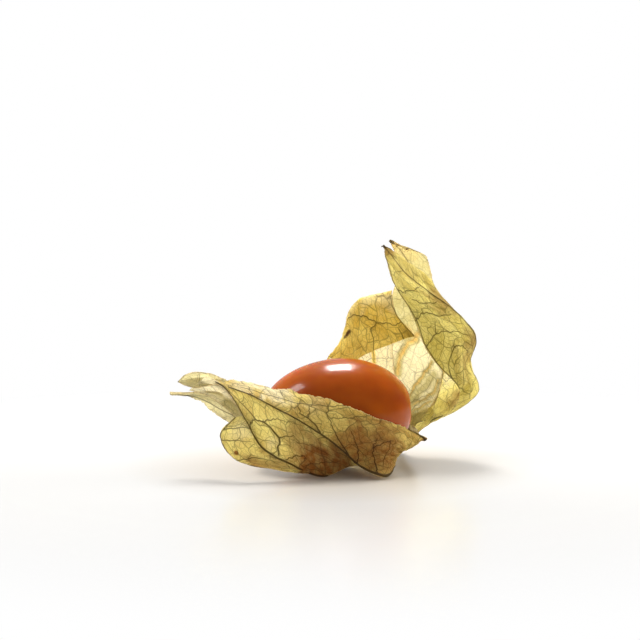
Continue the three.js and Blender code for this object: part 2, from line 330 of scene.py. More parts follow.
def cell_net(x, y, seed):
    """A net of cells grown round jittered points, read as each place's distance from the nearest wall, which
    lies halfway between its two nearest points. All in units of the cells."""
    table = np.random.RandomState(seed).uniform(0.1, 0.9, (128, 128, 2))
    cx, cy = np.floor(x).astype(int), np.floor(y).astype(int)
    offsets = [(i, j) for i in range(-2, 3) for j in range(-2, 3)]
    seeds = np.array([table[(cx + i) % 128, (cy + j) % 128] + np.stack([cx + i - x, cy + j - y], axis=-1)
                      for i, j in offsets])
    nearest = np.argmin(np.linalg.norm(seeds, axis=-1), axis=0)
    home = np.take_along_axis(seeds, nearest[None, ..., None], axis=0)[0]
    to_wall = np.full(x.shape, FAR)
    for n in range(len(offsets)):
        across = seeds[n] - home
        middle = (seeds[n] + home) / 2
        wall = np.abs((middle * across).sum(-1)) / np.maximum(np.linalg.norm(across, axis=-1), 1e-6)
        to_wall = np.where(nearest == n, to_wall, np.minimum(to_wall, wall))
    return to_wall


def near_line(points, normals, line):
    """How far each grid point is from a line of close samples, measured square to the line, with a sign that
    tells the line's left side from its right, and which part of the line is nearest, from 0 to 1."""
    flat = points.reshape(-1, 3)
    best = np.full(len(flat), 1e9)
    nearest = np.zeros(len(flat), dtype=int)
    for n, sample in enumerate(line):
        d = ((flat - sample) ** 2).sum(-1)
        closer = d < best
        best[closer] = d[closer]
        nearest[closer] = n
    offset = flat - line[nearest]
    ahead = unit(np.gradient(line, axis=0))[nearest]
    along = (offset * ahead).sum(-1) * ((nearest > 0) & (nearest < len(line) - 1))
    side = np.sign((np.cross(ahead, offset) * normals.reshape(-1, 3)).sum(-1))
    away = np.sqrt(np.maximum(best - along ** 2, 0)) * np.where(side == 0, 1, side)
    return away.reshape(points.shape[:-1]), (nearest / (len(line) - 1)).reshape(points.shape[:-1])


def sheet_line(rails, places):
    """Close samples, in metres, of the line over the sheet that joins places given as (u, v), with a slight
    wobble between them."""
    knots = np.arange(len(places))
    at = np.linspace(0, knots[-1], 26 * len(places))
    wobble = 0.003 * np.sin(5.3 * at) + 0.002 * np.sin(12.1 * at + 2)
    u, v = (np.interp(at, knots, column) for column in np.array(places).T)
    return on_sheet(rails, np.clip(u + wobble, 0, 1), np.clip(v - wobble, 0, 1))


def along_edge(amount, u):
    """An edge's amount at each u, from one amount or from knots (u, amount) joined by straight lines."""
    return np.full(u.shape, float(amount)) if np.isscalar(amount) else np.interp(u, *np.array(amount).T)


def pull_margins(points, low, high, sink):
    """Moves a grid's two long edges outwards by low and high, one length for each row, and sinks them along
    the normal by the two lengths in sink. The sheet next to an edge follows it with the fourth power."""
    v = np.linspace(0, 1, points.shape[1])[None, :, None]
    outward_low = unit(points[:, :1] - points[:, 3:4])
    outward_high = unit(points[:, -1:] - points[:, -4:-3])
    normal = normals_of(points)
    near_low, near_high = (1 - v) ** 4, v ** 4
    points = points + near_low * outward_low * low[:, None, None]
    points = points + near_high * outward_high * high[:, None, None]
    return points - normal * (near_low * sink[0] + near_high * sink[1])


def sepal_sheet(rails, rows, columns, seed, veins=(), folds=(), stains_and_shade=(), low=0, high=0, sink=(0, 0),
                torn=(0, 0), cells=(2.5, 1.8), bulge=0.16, crumple=0.12, bleach=(0, 0)):
    """One papery sheet as a closed shell.

    The sheet through the rails is sampled on a grid whose long edges are moved by low and high and frayed by
    torn. Folds are soft ridges (line, width, height, browning). Veins, each a list of places (u, v) with a
    start and an end width, stand up as ribs. Between them the paper swells softly inside each cell of a net,
    and the whole is crumpled by noise. The stains are (u, v, radius, strength): brown stains, pale where the
    strength is below zero, and on the front sepals partly painted shade and painted light. bleach is how
    pale the sheet is, and the u it is pale up to. Lengths are in millimetres.
    Returns vertices, quads, the place on the flattened sheet, the place on the plan of cells, and a table of
    values for each vertex: which side of the nearest vein it is on and how far off, that vein's half width,
    how far the edge is, and the paper's browning by age together with the shade and light painted on it."""
    u = np.linspace(0, 1, rows)[:, None] + np.zeros((1, columns))
    v = np.linspace(0, 1, columns)[None, :] + np.zeros((rows, 1))
    points = on_sheet(rails, u, v)
    step_u = np.linalg.norm(np.gradient(points, axis=0), axis=-1)
    s = np.cumsum(step_u.mean(axis=1)) / MM
    bites = ((0.6, 0.4), (2.1, 0.35), (7, 0.25))
    fray = [sum(size * lattice_noise(s * often, s * 0 + 3 * k, seed + k) for often, size in bites)
            for k in (1, 2)]
    edges = [(along_edge(amount, u[:, 0]) + size * (bite - 0.5)) * MM
             for amount, size, bite in zip((low, high), torn, fray)]
    points = pull_margins(points, *edges, np.array(sink) * MM)
    base = points.copy()
    step_v = np.linalg.norm(np.gradient(points, axis=1), axis=-1)
    s = s[:, None] + 0 * v
    t = (np.cumsum(step_v, axis=1) - step_v.sum(axis=1, keepdims=True) / 2) / MM
    normals = normals_of(base)
    vein_gap, vein_side, vein_half = (np.full(u.shape, size) for size in (FAR, FAR, 0.05))
    height = np.zeros(u.shape)
    age = -bleach[0] * np.clip((bleach[1] - u) / BLEACH_END, 0, 1)
    for line, start_width, end_width in veins:
        away, part = near_line(base, normals, sheet_line(rails, line))
        half = (start_width + (end_width - start_width) * part) / 2
        gap = np.abs(away) / MM - half
        nearer = gap < vein_gap
        vein_gap = np.where(nearer, gap, vein_gap)
        vein_side = np.where(nearer, away / MM, vein_side)
        vein_half = np.where(nearer, half, vein_half)
        rib = np.exp(-(away / ((RIB_SPREAD * half + RIB_FOOT) * MM)) ** 2)
        height = np.maximum(height, RIB_RISE * half * MM * rib)
    for line, width, rise, browning in folds:
        away, _ = near_line(base, normals, sheet_line(rails, line))
        ridge = np.exp(-(away / (width * MM)) ** 2)
        points = points + normals * (rise * MM * ridge)[..., None]
        age = age + ridge * np.maximum(browning - age, 0) * (browning > 0)
    # Each stain browns the paper, and pales it where the strength is below zero; on the front sepals some
    # stains are painted shade and painted light.
    for u0, v0, radius, strength in stains_and_shade:
        away = np.linalg.norm(base - on_sheet(rails, np.array([u0]), np.array([v0]))[0], axis=-1)
        uneven = 1 + STAIN_AND_SHADE_UNEVENNESS * lattice_noise(s * 1.3, t * 1.3, seed + 11)
        spread = np.exp(-(away / (radius * MM * uneven)) ** 3)
        age = age + spread * (np.maximum(strength - age, 0) if strength > 0 else strength)
    warp_s = s + NET_WARP * lattice_noise(s * 0.9, t * 0.9, seed + 5)
    warp_t = t + NET_WARP * lattice_noise(s * 0.9, t * 0.9, seed + 6)
    plan = np.stack([(warp_s + NET_SLANT * warp_t) / cells[0] + seed, warp_t / cells[1] + seed], axis=-1)
    wall = cell_net(plan[..., 0], plan[..., 1], seed + 7) * cells[1]
    swell = bulge * MM * (1 - np.exp(-np.minimum(wall, np.maximum(vein_gap, 0)) / SWELL_REACH))
    creases = lattice_noise(s * 0.35, t * 0.7, seed + 9) + 0.5 * lattice_noise(s * 0.9, t * 1.3, seed + 10)
    creases += 0.25 * lattice_noise(s * 2.1, t * 2.6, seed + 12)
    points = points + normals_of(points) * (height + swell + crumple * MM * creases)[..., None]
    out = normals_of(points) * PAPER / 2
    vertices = np.concatenate([(points + out).reshape(-1, 3), (points - out).reshape(-1, 3)])
    top = np.arange(rows * columns).reshape(rows, columns)
    under = top + rows * columns
    quads = [np.stack([top[:-1, :-1], top[1:, :-1], top[1:, 1:], top[:-1, 1:]], -1).reshape(-1, 4),
             np.stack([under[:-1, :-1], under[:-1, 1:], under[1:, 1:], under[1:, :-1]], -1).reshape(-1, 4),
             np.stack([top[:-1, 0], under[:-1, 0], under[1:, 0], top[1:, 0]], -1),
             np.stack([top[1:, -1], under[1:, -1], under[:-1, -1], top[:-1, -1]], -1),
             np.stack([top[0, 1:], under[0, 1:], under[0, :-1], top[0, :-1]], -1),
             np.stack([top[-1, :-1], under[-1, :-1], under[-1, 1:], top[-1, 1:]], -1)]
    rim = np.minimum(v, 1 - v) * step_v.sum(axis=1, keepdims=True) / MM
    table = np.stack([vein_side, vein_half, rim, age], axis=-1)
    flat, plan, table = (np.concatenate([values.reshape(-1, values.shape[-1])] * 2)
                         for values in (np.stack([s, t], axis=-1), plan, table))
    return vertices, np.concatenate(quads), flat, plan, table


PAPER_VALUES = ("vein_side", "vein_half", "rim", "age")


def paper_piece(name, sheets, material):
    """Joins sheets into one mesh object with UV maps of the flat sheet and of the plan of cells, and an
    attribute for each paper value."""
    start = 0
    quads = []
    for vertices, faces, *_ in sheets:
        quads.append(faces + start)
        start += len(vertices)
    vertices, flat, plan, table = (np.concatenate([sheet[k] for sheet in sheets]) for k in (0, 2, 3, 4))
    quads = np.concatenate(quads)
    mesh = fill_mesh(name + "_mesh", vertices + BERRY_CENTRE, quads)
    for k, label in enumerate(PAPER_VALUES):
        layer = mesh.attributes.new(label, "FLOAT", "POINT")
        layer.data.foreach_set("value", np.ascontiguousarray(table[:, k], dtype=np.float32))
    for label, places in (("flat_sheet", flat), ("cell_plan", plan)):
        layer = mesh.uv_layers.new(name=label)
        layer.data.foreach_set("uv", places[quads.ravel()].astype(np.float32).ravel())
    mesh.materials.append(material)
    piece = new_object(name, mesh)
    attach(piece, "root")
    return piece


def map_range(tree, source, start, end, to_start, to_end):
    """Map Range node, smooth and clamped, from start..end to to_start..to_end. Returns its output."""
    inputs = {"Value": source, "From Min": start, "From Max": end, "To Min": to_start, "To Max": to_end}
    return add_node(tree, "MapRange", inputs, interpolation_type="SMOOTHSTEP").outputs["Result"]


def mix_colour(tree, factor, first, second):
    """Mix node between two colours, each a socket or a value. Returns its output."""
    node = add_node(tree, "Mix", {"Factor": factor}, data_type="RGBA")
    colour_inputs = [number for number, socket in enumerate(node.inputs) if socket.type == "RGBA"]
    colours = [(*colour, 1) if isinstance(colour, tuple) else colour for colour in (first, second)]
    set_inputs(node, dict(zip(colour_inputs, colours)))
    return next(socket for socket in node.outputs if socket.type == "RGBA")


def calculate(tree, operation, first, second):
    """Math node on two sockets, or a socket and a number. Returns its output."""
    return add_node(tree, "Math", {0: first, 1: second}, operation=operation).outputs[0]


def cells_at(tree, plan, scale, feature, output):
    """Flat Voronoi node read at a place on the plan of cells. Returns one of its outputs."""
    inputs = {"Vector": plan, "Scale": scale}
    return add_node(tree, "TexVoronoi", inputs, voronoi_dimensions="2D", feature=feature).outputs[output]


def paper_pattern_group():
    """Pattern of dry husk paper: every cell has its own tone, with blotches over it, browned by age and by
    painted shade, paled by bleaching and by painted light, paler at a torn rim, and crossed by dark veins and
    by three nets of cells, each finer than the last. Puts out a colour, and a height of 0 to about 1 at which
    the cells bulge and the veins stand up."""
    tree = bpy.data.node_groups.new("husk_paper_pattern", "ShaderNodeTree")
    colours = {"Light": (0.7, 0.6, 0.25), "Dark": (0.4, 0.3, 0.08), "Brown": (0.2, 0.1, 0.03),
               "Pale": (0.90, 0.82, 0.54), "Vein Colour": (0.025, 0.012, 0.003),
               "Rim Colour": (0.62, 0.46, 0.22)}
    for label, colour in colours.items():
        socket = tree.interface.new_socket(name=label, in_out="INPUT", socket_type="NodeSocketColor")
        socket.default_value = (*colour, 1)
    for label in ("Strength", *PAPER_VALUES):
        tree.interface.new_socket(name=label, in_out="INPUT", socket_type="NodeSocketFloat")
    for label in ("Place", "Plan"):
        tree.interface.new_socket(name=label, in_out="INPUT", socket_type="NodeSocketVector")
    tree.interface.new_socket(name="Colour", in_out="OUTPUT", socket_type="NodeSocketColor")
    tree.interface.new_socket(name="Height", in_out="OUTPUT", socket_type="NodeSocketFloat")
    given = tree.nodes.new("NodeGroupInput").outputs
    result = tree.nodes.new("NodeGroupOutput").inputs
    maths = partial(calculate, tree)
    shape = partial(map_range, tree)
    blotch = noise_at(tree, given["Place"], 0.45, 6, 0.65)
    tone = maths("MULTIPLY", cells_at(tree, given["Plan"], 1.0, "F1", "Color"), 0.35)
    fine_tone = maths("MULTIPLY", cells_at(tree, given["Plan"], 3.0, "F1", "Color"), 0.22)
    toned = maths("ADD", maths("ADD", tone, fine_tone), blotch)
    paper = mix_colour(tree, shape(toned, 0.45, 1.1, 0, 1), given["Dark"], given["Light"])
    pale = mix_colour(tree, shape(given["age"], 0, -1, 0, 1), paper, given["Pale"])
    speckle = shape(noise_at(tree, given["Place"], 1.2, 3, 0.5), 0.3, 0.7, 0.8, 1.12)
    brownness = maths("MULTIPLY", shape(given["age"], 0, 1, 0, 1), speckle)
    browned = mix_colour(tree, brownness, pale, given["Brown"])
    rimmed = mix_colour(tree, shape(given["rim"], 0.03, 0.16, 0.6, 0), browned, given["Rim Colour"])
    net = cells_at(tree, given["Plan"], 1.0, "DISTANCE_TO_EDGE", "Distance")
    fine = cells_at(tree, given["Plan"], 3.0, "DISTANCE_TO_EDGE", "Distance")
    hair = cells_at(tree, given["Plan"], 7.5, "DISTANCE_TO_EDGE", "Distance")
    fade = shape(noise_at(tree, given["Place"], 0.7, 2), 0.35, 0.6, 0.8, 1)
    vein_gap = maths("SUBTRACT", maths("ABSOLUTE", given["vein_side"], 0), given["vein_half"])
    fine_lines = maths("MULTIPLY", shape(fine, 0.01, 0.09, 0.60, 0), fade)
    lines = maths("MAXIMUM", shape(hair, 0.0, 0.13, 0.32, 0), fine_lines)
    lines = maths("MAXIMUM", lines, maths("MULTIPLY", shape(net, 0.01, 0.045, 0.78, 0), fade))
    lines = maths("MAXIMUM", lines, shape(vein_gap, -0.02, 0.05, 0.97, 0))
    veined = mix_colour(tree, maths("MULTIPLY", lines, given["Strength"]), rimmed, given["Vein Colour"])
    bulges = maths("ADD", shape(net, 0, 0.4, 0, 0.55), shape(fine, 0, 0.35, 0, 0.30))
    bulges = maths("ADD", bulges, shape(hair, 0, 0.35, 0, 0.12))
    crinkle = maths("MULTIPLY", noise_at(tree, given["Place"], 1.6, 5, 0.6), 0.9)
    ribs = shape(vein_gap, -0.03, 0.09, 0.5, 0)
    tree.links.new(veined, result["Colour"])
    tree.links.new(maths("ADD", maths("ADD", bulges, crinkle), ribs), result["Height"])
    return tree


PAPER_PATTERN = paper_pattern_group()


def husk_material(name, light, dark, brown, strength, through):
    """Dry husk paper: a matte front that scatters light, and a share of it that light shines through. Light
    that shines through meets both faces of the sheet, so each face colours it by the square root."""
    material, tree, shader = new_material(name)
    inputs = {"Light": (*light, 1), "Dark": (*dark, 1), "Brown": (*brown, 1), "Strength": strength}
    for label in PAPER_VALUES:
        inputs[label] = add_node(tree, "Attribute", attribute_name=label).outputs["Fac"]
    for label, uv_map in (("Place", "flat_sheet"), ("Plan", "cell_plan")):
        inputs[label] = add_node(tree, "UVMap", uv_map=uv_map).outputs["UV"]
    pattern = add_node(tree, "Group", inputs, node_tree=PAPER_PATTERN).outputs
    bump = add_node(tree, "Bump", {"Height": pattern["Height"], "Strength": 0.55, "Distance": 0.14 * MM})
    set_inputs(shader, {"Base Color": pattern["Colour"], "Normal": bump.outputs["Normal"], "Roughness": 0.55,
                        "Specular IOR Level": 0.2})
    one_face = add_node(tree, "Gamma", {"Color": pattern["Colour"], "Gamma": 0.5})
    glow = add_node(tree, "BsdfTranslucent", {"Color": one_face.outputs["Color"]})
    both = add_node(tree, "MixShader", {0: through, 1: shader.outputs[0], 2: glow.outputs[0]})
    set_inputs(tree.nodes["Material Output"], {"Surface": both.outputs[0]})
    return material


FRONT_UPPER_RAILS = [
    [[10.4, 2.0, -2.9], [11.8, -0.8, -3.2], [8.9, -4.0, -1.5], [5.3, -7.0, 0.2], [1.2, -7.9, 2.0],
     [-3.6, -7.4, 3.4], [-8.0, -6.8, 3.9], [-12.2, -6.0, 4.7], [-15.5, -5.2, 5.1]],
    [[10.3, 1.2, -3.5], [9.3, -3.6, -4.15], [7.0, -6.8, -2.6], [3.6, -8.4, -1.2], [0.0, -9.0, 0.6],
     [-3.9, -8.5, 2.2], [-7.8, -7.8, 3.1], [-11.8, -6.8, 4.2], [-15.4, -5.5, 4.8]],
    [[9.3, 1.2, -4.5], [7.0, -7.0, -5.0], [5.2, -8.6, -4.2], [2.2, -9.4, -2.7], [-0.8, -9.7, -0.6],
     [-4.3, -9.4, 0.9], [-7.8, -8.6, 2.2], [-11.5, -7.6, 3.6], [-15.4, -5.9, 4.6]],
    [[8.0, 1.6, -5.1], [6.2, -9.6, -6.95], [2.9, -9.6, -5.8], [0.6, -10.0, -3.7], [-2.1, -10.1, -1.6],
     [-5.0, -9.8, 0.2], [-8.2, -9.0, 1.8], [-11.4, -8.0, 3.2], [-15.3, -6.3, 4.5]],
]
FRONT_UPPER_VEINS = [
    ([(0.06, 0.98), (0.3, 0.985), (0.6, 0.985), (1.0, 0.95)], 0.36, 0.14),
    ([(0.24, 0.02), (0.16, 0.03), (0.11, 0.06)], 0.06, 0.47),
    ([(0.66, 0.42), (0.61, 0.33), (0.545, 0.18), (0.50, 0.03)], 0.08, 0.06),
    ([(0.50, 0.98), (0.565, 0.80), (0.60, 0.72), (0.64, 0.68), (0.66, 0.42)], 0.14, 0.07),
    ([(0.60, 0.72), (0.61, 0.50), (0.605, 0.33)], 0.08, 0.06),
    ([(0.34, 0.97), (0.41, 0.87), (0.46, 0.77), (0.505, 0.62), (0.54, 0.38), (0.55, 0.18)], 0.14, 0.06),
    ([(0.52, 0.45), (0.49, 0.35), (0.46, 0.24), (0.43, 0.12), (0.405, 0.03)], 0.07, 0.06),
    ([(0.17, 0.98), (0.20, 0.87), (0.24, 0.78), (0.285, 0.69), (0.305, 0.57), (0.31, 0.42)], 0.15, 0.07),
    ([(0.30, 0.62), (0.28, 0.50), (0.265, 0.42), (0.24, 0.36)], 0.10, 0.06),
    ([(0.25, 0.40), (0.225, 0.55), (0.205, 0.66), (0.17, 0.80)], 0.08, 0.06),
    ([(0.28, 0.97), (0.31, 0.87), (0.345, 0.75), (0.395, 0.60), (0.42, 0.50)], 0.11, 0.06),
    ([(0.86, 0.97), (0.855, 0.70), (0.86, 0.35)], 0.08, 0.06),
    ([(0.66, 0.42), (0.72, 0.38), (0.80, 0.45), (0.90, 0.50)], 0.07, 0.06),
]
CURLED_TIP_RAILS = [
    [[-14.2, -5.6, 5.0], [-16.4, -5.3, 5.7], [-18.0, -5.4, 5.9], [-19.4, -6.0, 5.6], [-20.2, -6.6, 4.9]],
    [[-14.4, -6.0, 4.7], [-16.5, -4.3, 5.0], [-18.0, -3.9, 5.0], [-19.3, -4.7, 4.9], [-20.3, -6.7, 4.8]],
    [[-14.3, -6.6, 4.4], [-16.3, -6.1, 4.2], [-18.0, -6.2, 4.0], [-19.2, -6.4, 4.2], [-20.2, -6.8, 4.7]],
]
CURLED_TIP_VEINS = [
    ([(0.3, 0.04), (0.6, 0.05), (0.85, 0.06), (1.0, 0.3)], 0.07, 0.06),
    ([(0.45, 0.06), (0.46, 0.5), (0.44, 0.95)], 0.06, 0.06),
]
front_upper_paper = husk_material("front_upper_paper", (0.86, 0.70, 0.20), (0.60, 0.41, 0.09),
                                  (0.33, 0.135, 0.022), 0.95, 0.6)
front_upper = paper_piece("front_upper_husk", [sepal_sheet(
    FRONT_UPPER_RAILS, 440, 96, 20, FRONT_UPPER_VEINS,
    folds=[([(0.86, 0.97), (0.72, 0.6), (0.6, 0.45)], 0.5, 0.15, 0.0),
           ([(0.2, 0.5), (0.3, 0.62), (0.42, 0.66)], 0.8, 0.2, 0.25)],
    # Painted shade and light: the brown stains over the right and lower part are partly real browning and
    # partly painted shade, where the berry keeps the light off; the pale stains at the left and top are
    # painted light, where light shines through.
    stains_and_shade=[(0.24, 0.60, 4.8, 0.80), (0.36, 0.70, 2.8, 0.8), (0.10, 0.1, 1.2, 0.6), (0.16, 0.95, 1.8, 0.5),
            (0.40, 0.85, 2.0, 0.6), (0.88, 0.25, 2.6, -0.55), (0.74, 0.14, 2.4, -0.7),
            (0.60, 0.3, 1.8, -0.25)],
    low=[(0.45, 0), (0.5, 0.05), (0.55, 0), (0.6, -0.12), (0.65, -0.25), (0.7, 0.2), (0.75, 0.05), (0.8, 0.1),
         (0.85, 0.1), (0.9, 0.05), (0.95, 0.05), (1, 0)],
    high=[(0, 0), (0.05, -0.4), (0.1, 0), (0.15, 0.1), (0.2, 0.1), (0.25, 0)], torn=(0.28, 0.05),
)], front_upper_paper)
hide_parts("front_upper_sepal")
pale_paper = husk_material("pale_inner_paper", (0.71, 0.65, 0.36), (0.57, 0.49, 0.23),
                           (0.50, 0.36, 0.18), 0.85, 0.66)
curled_tip = paper_piece("curled_tip_husk", [sepal_sheet(
    CURLED_TIP_RAILS, 130, 70, 40, CURLED_TIP_VEINS, torn=(0.08, 0.15), cells=(1.6, 1.2), bulge=0.04,
    crumple=0.03,
)], pale_paper)
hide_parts("front_upper_sepal")


# ---------------------------------------------------------------- front lower sepal
# The sepal below the big midrib: a panel that hangs from it, a round lobe that bellies out at the lower
# left and reaches the table, and beyond the fold a pale facet and a tip drawn out into a dry spike.

FRONT_LOWER_RAILS = [
    [[7.8, 1.8, -5.2], [5.6, -5.6, -5.2], [1.9, -9.0, -4.9], [-1.6, -9.9, -2.0], [-5.0, -9.7, 0.2],
     [-8.2, -8.9, 1.8], [-11.4, -7.9, 3.1], [-14.2, -7.0, 4.3], [-15.6, -6.3, 4.9]],
    [[7.5, 2.2, -5.5], [5.2, -5.8, -5.5], [1.8, -8.7, -5.4], [-1.6, -9.9, -4.7], [-5.4, -10.9, -2.6],
     [-8.8, -10.4, -0.3], [-11.8, -8.9, 1.8], [-14.2, -7.4, 4.0], [-15.6, -6.4, 4.8]],
    [[7.2, 2.5, -5.8], [5.0, -6.0, -5.9], [1.6, -8.8, -5.8], [-2.0, -9.2, -7.0], [-6.0, -10.6, -5.2],
     [-9.6, -11.0, -3.0], [-11.9, -9.3, 0.9], [-14.1, -7.7, 3.7], [-15.6, -6.5, 4.7]],
]
FRONT_LOWER_VEINS = [
    ([(0.35, 0.98), (0.5, 0.98), (0.65, 0.98), (0.8, 0.98), (1.0, 0.9)], 0.23, 0.14),
    ([(0.50, 0.08), (0.565, 0.17), (0.61, 0.28), (0.645, 0.50)], 0.14, 0.15),
    ([(0.645, 0.50), (0.615, 0.50), (0.565, 0.58), (0.55, 0.90)], 0.15, 0.16),
    ([(0.565, 0.58), (0.51, 0.33), (0.485, 0.40)], 0.11, 0.06),
    ([(0.645, 0.50), (0.68, 0.58), (0.76, 0.45), (0.90, 0.50)], 0.14, 0.06),
    ([(0.68, 0.58), (0.70, 0.80), (0.69, 0.97)], 0.11, 0.09),
    ([(0.515, 0.94), (0.495, 0.78), (0.47, 0.68), (0.455, 0.63), (0.45, 0.74)], 0.11, 0.06),
    ([(0.44, 0.90), (0.437, 0.78), (0.41, 0.68), (0.37, 0.55), (0.32, 0.50)], 0.09, 0.06),
    ([(0.49, 0.45), (0.44, 0.33), (0.35, 0.33)], 0.07, 0.06),
    ([(0.76, 0.45), (0.74, 0.15), (0.70, 0.02)], 0.07, 0.06),
]
LOWER_LOBE_RAILS = [
    [[-3.4, -9.9, -6.1], [-5.0, -10.4, -5.8], [-8.3, -11.0, -3.9], [-10.0, -10.7, -2.4], [-10.6, -9.6, -0.1]],
    [[-3.5, -10.0, -6.3], [-6.4, -11.2, -5.7], [-10.2, -12.0, -4.1], [-12.1, -11.5, -1.9],
     [-11.7, -9.3, 0.6]],
    [[-3.6, -9.9, -6.5], [-7.8, -10.6, -5.8], [-12.8, -11.2, -4.5], [-14.8, -10.5, -1.6], [-13.2, -9.5, 0.5]],
]
LOWER_LOBE_VEINS = [
    ([(0.1, 0.02), (0.5, 0.02), (0.75, 0.02)], 0.16, 0.14),
    ([(0.49, 0.95), (0.50, 0.68), (0.50, 0.52), (0.42, 0.30), (0.33, 0.03)], 0.11, 0.07),
    ([(0.83, 0.97), (0.87, 0.60), (0.90, 0.20)], 0.09, 0.06),
    ([(0.70, 0.97), (0.72, 0.70), (0.73, 0.45), (0.73, 0.10)], 0.08, 0.06),
    ([(0.25, 0.985), (0.5, 0.985), (0.75, 0.985), (1.0, 0.9)], 0.11, 0.12),
]
SPIKE_RAILS = [
    [[-12.0, -8.2, 1.9], [-15.4, -6.3, 3.2], [-17.6, -6.2, 3.2], [-19.4, -6.6, 3.2], [-21.3, -7.2, 3.3]],
    [[-11.4, -8.4, 1.0], [-15.4, -5.8, 2.5], [-17.6, -5.9, 2.9], [-19.4, -6.5, 3.1], [-21.3, -7.2, 3.25]],
    [[-11.0, -8.7, -0.2], [-15.0, -6.2, 1.5], [-17.3, -6.0, 2.5], [-19.4, -6.5, 3.0], [-21.3, -7.3, 3.2]],
    [[-12.6, -8.7, -1.2], [-15.9, -5.9, 0.6], [-17.3, -5.9, 1.8], [-19.4, -6.6, 2.8], [-21.2, -7.3, 3.15]],
]
SPIKE_VEINS = [
    ([(0.02, 0.72), (0.25, 0.74), (0.5, 0.7), (0.75, 0.6), (0.85, 0.6)], 0.10, 0.05),
    ([(0.05, 0.4), (0.3, 0.35), (0.6, 0.3), (0.8, 0.4)], 0.07, 0.05),
]
FACET_RAILS = [
    [[-16.9, -6.0, 5.3], [-15.4, -6.6, 4.8], [-14.2, -7.5, 3.8], [-13.1, -8.4, 2.3], [-11.5, -9.6, 0.4]],
    [[-17.9, -5.6, 4.5], [-16.4, -5.7, 4.0], [-15.1, -6.3, 3.2], [-13.8, -7.2, 2.1], [-11.8, -9.2, 0.3]],
    [[-18.7, -6.3, 3.8], [-17.2, -6.2, 3.4], [-15.8, -6.4, 2.8], [-14.2, -7.3, 1.8], [-12.0, -9.0, 0.2]],
]
front_lower_paper = husk_material("front_lower_paper", (0.90, 0.78, 0.25), (0.66, 0.50, 0.13),
                                  (0.25, 0.088, 0.015), 0.95, 0.62)
front_lower = paper_piece("front_lower_husk", [sepal_sheet(
    FRONT_LOWER_RAILS, 330, 84, 60, FRONT_LOWER_VEINS,
    folds=[([(0.98, 0.6), (0.85, 0.72), (0.72, 0.75)], 0.35, 0.15, 0.0),
           ([(0.645, 0.5), (0.565, 0.58), (0.55, 0.9)], 0.4, 0.12, 0.0)],
    # Painted shade: the brown stains over the middle and right of the panel are partly real browning and
    # partly painted shade, where the sheet lies against the berry.
    stains_and_shade=[(0.41, 0.58, 3.1, 0.9), (0.34, 0.75, 2.6, 0.9), (0.47, 0.70, 1.9, 0.6), (0.50, 0.25, 2.0, 0.5),
            (0.30, 0.5, 2.2, 0.85), (0.88, 0.45, 1.6, 0.25), (0.58, 0.75, 1.2, -0.35),
            (0.43, 0.95, 1.4, 0.95)],
    low=0.5, sink=(0.25, 0),
), sepal_sheet(
    LOWER_LOBE_RAILS, 170, 84, 80, LOWER_LOBE_VEINS,
    stains_and_shade=[(0.50, 0.68, 1.1, 0.35), (0.30, 0.70, 2.3, 0.5), (0.38, 0.95, 1.6, 0.65), (0.85, 0.45, 1.8, -0.4),
            (0.58, 0.80, 0.26, 1.5), (0.0, 0.9, 2.0, 0.95)],
    low=0.4, sink=(0.2, 0), torn=(0, 0.12), bulge=0.14,
)], front_lower_paper)
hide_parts("front_lower_sepal")
pale_facet = paper_piece("pale_facet_husk", [sepal_sheet(
    SPIKE_RAILS, 200, 60, 100, SPIKE_VEINS, low=0.2, sink=(0.15, 0), torn=(0, 0.35), cells=(2.0, 1.2),
    bulge=0.05, crumple=0.06,
), sepal_sheet(
    FACET_RAILS, 110, 50, 110, cells=(1.6, 1.1), bleach=(1.0, 0.7), low=0.25, high=0.3, sink=(0.1, 0.12),
    bulge=0.04, crumple=0.10,
)], pale_paper)
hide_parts("front_lower_sepal")


# ---------------------------------------------------------------- back left sepal
# Stands behind the berry, leans left, and folds over at its top, so that its torn edge hangs forward.

BACK_LEFT_RAILS = [
    [[7.8, 4.6, -5.7], [2.6, 6.9, -6.9], [-0.4, 9.2, -2.4], [-1.8, 9.4, 2.4], [-1.2, 8.2, 6.2],
     [-0.2, 7.5, 5.8], [1.0, 7.2, 4.6]],
    [[8.2, 5.3, -5.2], [4.8, 9.2, -4.2], [1.8, 10.8, 1.0], [0.6, 10.8, 7.0], [1.0, 8.6, 9.2],
     [2.0, 6.8, 8.2], [3.4, 5.6, 6.8]],
    [[8.6, 5.7, -4.5], [6.4, 10.0, -2.0], [4.4, 11.8, 3.6], [2.9, 11.4, 10.4], [2.5, 8.8, 13.7],
     [4.6, 7.0, 11.4], [6.8, 5.4, 8.3]],
    [[9.0, 6.0, -3.9], [8.1, 10.9, 0.0], [7.3, 12.7, 6.0], [6.9, 12.0, 12.4], [7.4, 9.2, 15.4],
     [8.2, 7.6, 12.4], [10.6, 6.6, 9.5]],
]
BACK_LEFT_VEINS = [
    ([(0.02, 0.5), (0.3, 0.55), (0.5, 0.52), (0.62, 0.5)], 0.27, 0.12),
    ([(0.68, 0.50), (0.755, 0.59), (0.79, 0.65), (0.835, 0.69), (0.865, 0.73)], 0.14, 0.11),
    ([(0.87, 0.62), (0.865, 0.73), (0.88, 0.83), (0.905, 0.90), (0.89, 0.98)], 0.11, 0.10),
    ([(0.87, 0.62), (0.89, 0.60), (0.93, 0.58), (0.97, 0.53), (1.0, 0.5)], 0.11, 0.10),
    ([(0.93, 0.90), (0.97, 0.88), (1.0, 0.86)], 0.12, 0.14),
    ([(0.72, 0.98), (0.85, 0.985), (1.0, 0.985)], 0.07, 0.07),
]
back_left_paper = husk_material("back_left_paper", (0.93, 0.74, 0.18), (0.74, 0.52, 0.08),
                                (0.10, 0.04, 0.01), 0.85, 0.54)
